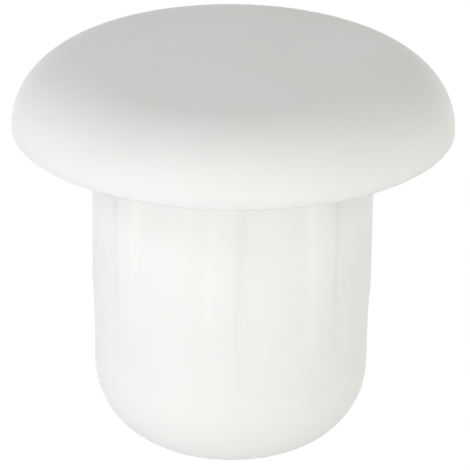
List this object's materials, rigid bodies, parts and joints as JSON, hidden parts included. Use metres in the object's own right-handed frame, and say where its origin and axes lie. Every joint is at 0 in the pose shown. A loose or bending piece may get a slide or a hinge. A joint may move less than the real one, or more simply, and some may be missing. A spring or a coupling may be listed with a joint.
{
  "type": "screw cover cap",
  "caption": "Domed round cap on a short ribbed shank with a rounded end, pressed into a drilled hole to hide the screw beneath.",
  "frame": {"origin": "middle of the head's flat underside, which seats on the panel", "axes": "+Z along the shank's axis, out of the hole, from the tip to the crown; +X towards the middle of one rib"},
  "size_m": [0.008, 0.008, 0.0074],
  "materials": {
    "cap_plastic": "satin white moulded plastic, faintly translucent"
  },
  "bodies": {
    "root": {"cover_cap": "cap_plastic"}
  },
  "joints": []
}
